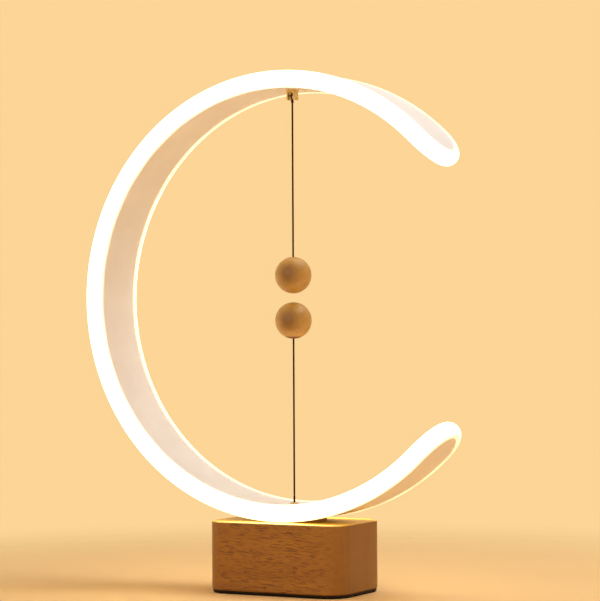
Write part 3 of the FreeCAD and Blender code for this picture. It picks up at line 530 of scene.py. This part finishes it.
def strip_film():
    """White-faced film strip with copper pads along its middle."""
    film = Finish("copper film strip", Coat_Weight=0.2, Coat_Roughness=0.2)
    x, y, z = film.parts(film.place)
    pads = film.step(film.maths("SINE", turn_round_band(x, z) * 60.0), 0.55, 0.7)
    copper = pads * (1.0 - film.step(abs(y), *PAD_END))
    dust = film.noise(600.0)
    face = film.mix(dust, tone(226, 224, 216), tone(240, 238, 232))
    film.wear(
        Base_Color=film.mix(copper, face, tone(206, 138, 84)),
        Metallic=copper * 0.9,
        Roughness=0.34 + dust * 0.14,
    )
    film.relief(copper + dust * 0.2, depth=0.00003)
    return film.material


def lamp_phosphor():
    """Yellow phosphor in the small lamps, lit."""
    phosphor = Finish("lamp phosphor", Emission_Strength=3.0)
    specks = phosphor.noise(3800.0)
    phosphor.wear(
        Base_Color=phosphor.mix(specks, tone(240, 206, 96), tone(250, 222, 128)),
        Emission_Color=phosphor.mix(specks, tone(255, 226, 160), tone(255, 238, 196)),
        Roughness=0.34 + specks * 0.14,
    )
    phosphor.relief(specks, depth=0.00002)
    return phosphor.material


def lead_sleeve():
    """Plastic insulation of the two leads, one red and one black."""
    sleeve = Finish("lead insulation")
    x, _, _ = sleeve.parts(sleeve.place)
    second = sleeve.step(x, *LEAD_GAP)
    scuffs = sleeve.grain((2400, 2400, 500))
    red = sleeve.mix(scuffs, tone(150, 22, 18), tone(178, 38, 30))
    black = sleeve.mix(scuffs, tone(20, 19, 20), tone(40, 38, 40))
    sleeve.wear(Base_Color=sleeve.mix(second, red, black), Roughness=0.36 + scuffs * 0.2)
    sleeve.relief(scuffs, depth=0.00003)
    return sleeve.material


def pivot_nylon():
    """Natural nylon with faint flow marks."""
    nylon = Finish("natural nylon")
    flow = nylon.grain((90, 420, 420), detail=3.0, roughness=0.6, distortion=0.6)
    fine = nylon.noise(2800.0)
    nylon.wear(
        Base_Color=nylon.mix(flow, tone(212, 206, 190), tone(234, 230, 218)),
        Roughness=0.4 + flow * 0.12 + fine * 0.06,
    )
    nylon.relief(fine * 0.6 + flow * 0.4, depth=0.00004)
    return nylon.material


cord_cotton = waxed_cord()

finishes = {
    "beech": beech_block(),
    "beech_balls": turned_beech("upper turned beech", UPPER_BALL_CENTRE, turn=(84, 0, 9)),
    "plug_wood": plug_beech("stained plug"),
    "white_diffuser": lit_silicone(),
    "cover_sheet": satin_sheet(),
    "black_plastic": moulded_black(),
    "foot_rubber": foot_rubber(),
    "steel": drawn_metal(
        "drawn steel",
        dark=tone(150, 150, 152),
        light=tone(200, 200, 202),
        brushed=(300, 3000, 3000),
        base_roughness=0.24,
    ),
    "magnet": drawn_metal(
        "nickelled magnet",
        dark=tone(176, 172, 164),
        light=tone(220, 216, 208),
        brushed=(900, 900, 900),
        base_roughness=0.12,
    ),
    "brass": drawn_metal(
        "aged brass",
        dark=tone(194, 166, 102),
        light=tone(230, 206, 148),
        brushed=(700, 700, 5200),
        base_roughness=0.34,
        tarnish=tone(138, 116, 66),
    ),
    "cord": cord_cotton,
    "board": lacquered_board(),
    "chip": resin_body(),
    "capacitor_can": can_sleeve(),
    "flex": strip_film(),
    "led": lamp_phosphor(),
    "lead": lead_sleeve(),
    "pivot_plastic": pivot_nylon(),
}
for node in lamp_nodes.values():
    for slot in node.material_slots:
        slot.material = finishes[slot.material.name]
lower_grain = turned_beech("lower turned beech", LOWER_BALL_CENTRE, turn=(88, 0, 10))
lamp_nodes["lower_ball"].material_slots[0].material = lower_grain
pale_beech = plug_beech("pale plug", pale=0.75)
for name in ("upper_plug", "ring_saddle"):
    lamp_nodes[name].material_slots[0].material = pale_beech


# ---------------------------------------------------------------- twisted cords


def twisted_cord_nodes():
    """Lays strands round a route: each is moved out from it, and round it as it goes along."""
    tree = bpy.data.node_groups.new("twisted cord", "GeometryNodeTree")
    for name, kind in (
        ("Route", "NodeSocketGeometry"),
        ("Strands", "NodeSocketInt"),
        ("Strand Radius", "NodeSocketFloat"),
        ("Offset", "NodeSocketFloat"),
        ("Lay Length", "NodeSocketFloat"),
        ("Step Length", "NodeSocketFloat"),
        ("Sides", "NodeSocketInt"),
        ("Finish", "NodeSocketMaterial"),
    ):
        tree.interface.new_socket(name, in_out="INPUT", socket_type=kind)
    tree.interface.new_socket("Cord", in_out="OUTPUT", socket_type="NodeSocketGeometry")

    cord = Nodes(tree)
    route = cord.add("NodeGroupInput")
    line = cord.add("GeometryNodeMeshToCurve", {"Mesh": route})
    line = cord.add(
        "GeometryNodeResampleCurve",
        {"Curve": line, "Length": route.also("Step Length")},
        mode="LENGTH",
    )
    strands = cord.add(
        "GeometryNodeDuplicateElements",
        {"Geometry": line, "Amount": route.also("Strands")},
        domain="SPLINE",
    )
    share = strands.also("Duplicate Index") / route.also("Strands")
    reached = cord.add("GeometryNodeSplineParameter", output="Length")
    out = cord.add(
        "ShaderNodeVectorRotate",
        {
            "Vector": cord.add("GeometryNodeInputNormal"),
            "Axis": cord.add("GeometryNodeInputTangent"),
            "Angle": (share + reached / route.also("Lay Length")) * math.tau,
        },
    )
    moved = cord.add(
        "ShaderNodeVectorMath", {0: out, "Scale": route.also("Offset")}, operation="SCALE"
    )
    strands = cord.add("GeometryNodeSetPosition", {"Geometry": strands, "Offset": moved})
    section = cord.add(
        "GeometryNodeCurvePrimitiveCircle",
        {"Resolution": route.also("Sides"), "Radius": route.also("Strand Radius")},
    )
    tubes = cord.add(
        "GeometryNodeCurveToMesh",
        {"Curve": strands, "Profile Curve": section, "Fill Caps": True},
    )
    smooth = cord.add("GeometryNodeSetShadeSmooth", {"Geometry": tubes})
    real = cord.add("GeometryNodeRealizeInstances", {"Geometry": smooth})
    done = cord.add(
        "GeometryNodeSetMaterial", {"Geometry": real, "Material": route.also("Finish")}
    )
    cord.add("NodeGroupOutput", {0: done})
    return tree


cord_tree = twisted_cord_nodes()


def smooth_line(name, points):
    """A mesh line along the smooth spline that these control points give."""
    curve = bpy.data.curves.new(name, "CURVE")
    curve.dimensions = "3D"
    curve.resolution_u = 24
    spline = curve.splines.new("NURBS")
    spline.points.add(len(points) - 1)
    for spot, point in zip(spline.points, points):
        spot.co = (*point, 1.0)
    spline.order_u = 3
    spline.use_endpoint_u = True
    bare = bpy.data.objects.new(name, curve)
    mesh = bpy.data.meshes.new_from_object(bare)
    bpy.data.objects.remove(bare)
    return mesh


def lay_strands(name, route, strands, radius, offset, lay, step):
    """A piece made of strands laid round a route. Their sizes are in metres."""
    piece = bpy.data.objects.new(name, route)
    scene.collection.objects.link(piece)
    modifier = piece.modifiers.new("strands", "NODES")
    modifier.node_group = cord_tree
    amounts = {
        "Strands": strands,
        "Strand Radius": radius,
        "Offset": offset,
        "Lay Length": lay,
        "Step Length": step,
        "Sides": STRAND_SIDES,
        "Finish": cord_cotton,
    }
    for item in cord_tree.interface.items_tree:
        if item.in_out == "INPUT" and item.name in amounts:
            modifier[item.identifier] = amounts[item.name]
    graph = bpy.context.evaluated_depsgraph_get()
    finished = bpy.data.meshes.new_from_object(piece.evaluated_get(graph), depsgraph=graph)
    piece.modifiers.clear()
    piece.data = finished
    finished.name = name
    return piece


def twisted(name, points, diameter=CORD_DIAMETER, lay=CORD_LAY):
    """A three-strand cord along these points, and the line that it follows."""
    route = smooth_line(name + "_line", points)
    line = [tuple(v.co) for v in route.vertices]
    # Three strands of this radius touch each other and the cord's outline.
    radius = diameter / 2 / (1 + 2 / math.sqrt(3))
    cord = lay_strands(
        name, route, strands=3, radius=radius, offset=diameter / 2 - radius, lay=lay, step=0.0003
    )
    return cord, line


def hang_cord_eye():
    """The eye that hangs on the pin, and the whipping that binds its two legs."""
    # One leg of the eye, as pairs of a distance out and a height.
    leg = [
        (0.00020, 0.30150),
        (0.00024, 0.30260),
        (0.00070, 0.30390),
        (0.00142, 0.30540),
        (0.00142, 0.30679),
        (0.00059, 0.30762),
    ]
    eye, _ = twisted(
        "tied_eye",
        [(0, y, z) for y, z in leg] + [(0, -y, z) for y, z in reversed(leg)],
        diameter=EYE_DIAMETER,
        lay=EYE_LAY,
    )
    half_width, half_depth = 0.00062, 0.00082
    foot, height = UPPER_KNOT - 0.0009, 0.0019
    turns, spots = 4.5, 60
    binding = []
    for k in range(spots + 1):
        angle = math.tau * turns * k / spots
        x, y = half_width * math.cos(angle), half_depth * math.sin(angle)
        binding.append((x, y, foot + height * k / spots))
    whipping = lay_strands(
        "eye_whipping",
        smooth_line("whipping_line", binding),
        strands=1,
        radius=WHIPPING_RADIUS,
        offset=0.0,
        lay=CORD_LAY,
        step=0.0001,
    )
    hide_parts("cord_loop")
    for piece in (eye, whipping):
        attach(piece, "upper_hook")


def tie_ball(name, node, ball, exit_height, ball_centre):
    """The taut twisted cord that stands for a node, from its exit to the middle of a ball."""
    near = math.copysign(6 * CORD_DIAMETER, ball_centre - exit_height)
    heights = (exit_height, exit_height + near, ball_centre - near, ball_centre)
    cord, line = twisted(name, [(0, 0, height) for height in heights])
    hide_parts(node)
    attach(cord, ball)


hang_cord_eye()
tie_ball("upper_twisted_cord", "upper_cord", "upper_ball", UPPER_CORD_TOP, UPPER_BALL_CENTRE)
tie_ball("lower_twisted_cord", "lower_cord", "lower_ball", LOWER_CORD_FOOT, LOWER_BALL_CENTRE)


# ---------------------------------------------------------------- room, lights and camera


def make_floor():
    """A round pale floor that fades out into the room."""
    matt = Finish("pale floor", Roughness=0.9)
    pale = tone(247, 205, 140)
    dimmer = [c * 0.985 for c in pale[:3]] + [1.0]
    matt.wear(Base_Color=matt.mix(matt.noise(3.0, detail=1.0), pale, dimmer))
    x, y, _ = matt.parts(matt.place)
    fade = matt.step(distance(x, y), *FLOOR_FADE)
    clear = matt.add("ShaderNodeBsdfTransparent")
    solid = Value(matt, matt.shader.outputs[0])
    faded = matt.add("ShaderNodeMixShader", {0: fade, 1: solid, 2: clear})
    matt.join(faded, matt.tree.nodes["Material Output"].inputs["Surface"])
    sides = 96
    angles = [math.tau * k / sides for k in range(sides)]
    rim = [(FLOOR_RADIUS * math.cos(a), FLOOR_RADIUS * math.sin(a), 0.0) for a in angles]
    mesh = bpy.data.meshes.new("floor")
    mesh.from_pydata(rim, [], [range(sides)])
    mesh.materials.append(matt.material)
    floor = bpy.data.objects.new("floor", mesh)
    scene.collection.objects.link(floor)


def make_room_light():
    """Pale warm walls to look at, and an even soft light from all round."""
    world = bpy.data.worlds.new("pale room")
    scene.world = world
    world.use_nodes = True
    room = Nodes(world.node_tree)
    room.tree.nodes.clear()
    walls = room.add("ShaderNodeBackground", {"Color": tone(252, 213, 151)})
    light = room.add("ShaderNodeBackground", {"Color": tone(255, 240, 218), "Strength": 0.48})
    seen = room.add("ShaderNodeLightPath", output="Is Camera Ray")
    mirrored = room.maths("MAXIMUM", seen, seen.also("Is Glossy Ray"))
    shown = room.maths("MAXIMUM", mirrored, seen.also("Is Transmission Ray"))
    mixed = room.add("ShaderNodeMixShader", {0: shown, 1: light, 2: walls})
    room.add("ShaderNodeOutputWorld", {"Surface": mixed})


def soft_light(name, place, size, power, colour):
    """A large soft light that faces the middle of the lamp."""
    data = bpy.data.lights.new(name, "AREA")
    data.shape = "DISK"
    data.size = size
    data.energy = power
    data.color = tone(*colour)[:3]
    light = bpy.data.objects.new(name, data)
    scene.collection.objects.link(light)
    light.location = place
    aim = LAMP_MIDDLE - Vector(place)
    light.rotation_euler = aim.to_track_quat("-Z", "Y").to_euler()
    light.visible_camera = False


def make_camera():
    """The camera stands in front and to the right, a little under half the lamp's height."""
    side, away, height = math.radians(28.3), 1.38, 0.1546
    yaw, pitch, roll = (math.radians(a) for a in (-0.17, 1.03, -0.3))
    focal_pixels, frame_pixels = 2229.0, 600.0
    data = bpy.data.cameras.new("camera")
    data.sensor_width = 36.0
    data.lens = focal_pixels / frame_pixels * data.sensor_width
    camera = bpy.data.objects.new("camera", data)
    scene.collection.objects.link(camera)
    scene.camera = camera
    facing = side + yaw
    ahead = Vector(
        (-math.sin(facing) * math.cos(pitch), math.cos(facing) * math.cos(pitch), math.sin(pitch))
    )
    right = Vector((math.cos(facing), math.sin(facing), 0))
    up = right.cross(ahead)
    rolled_right = math.cos(roll) * right + math.sin(roll) * up
    rolled_up = math.cos(roll) * up - math.sin(roll) * right
    turn = Matrix((rolled_right, rolled_up, -ahead)).transposed()
    place = Vector((away * math.sin(side), -away * math.cos(side), height))
    camera.matrix_world = Matrix.Translation(place) @ turn.to_4x4()


make_floor()
make_room_light()
soft_light("top light", place=(0.35, 0.25, 1.1), size=0.8, power=6.5, colour=(228, 238, 255))
soft_light("low light", place=(0.5, 0.05, 0.012), size=0.3, power=0.22, colour=(255, 160, 56))
soft_light("front light", place=(-0.1, -1.3, 0.7), size=0.8, power=3.4, colour=(255, 236, 214))
make_camera()
scene.view_settings.view_transform = "Standard"

bpy.context.view_layer.update()
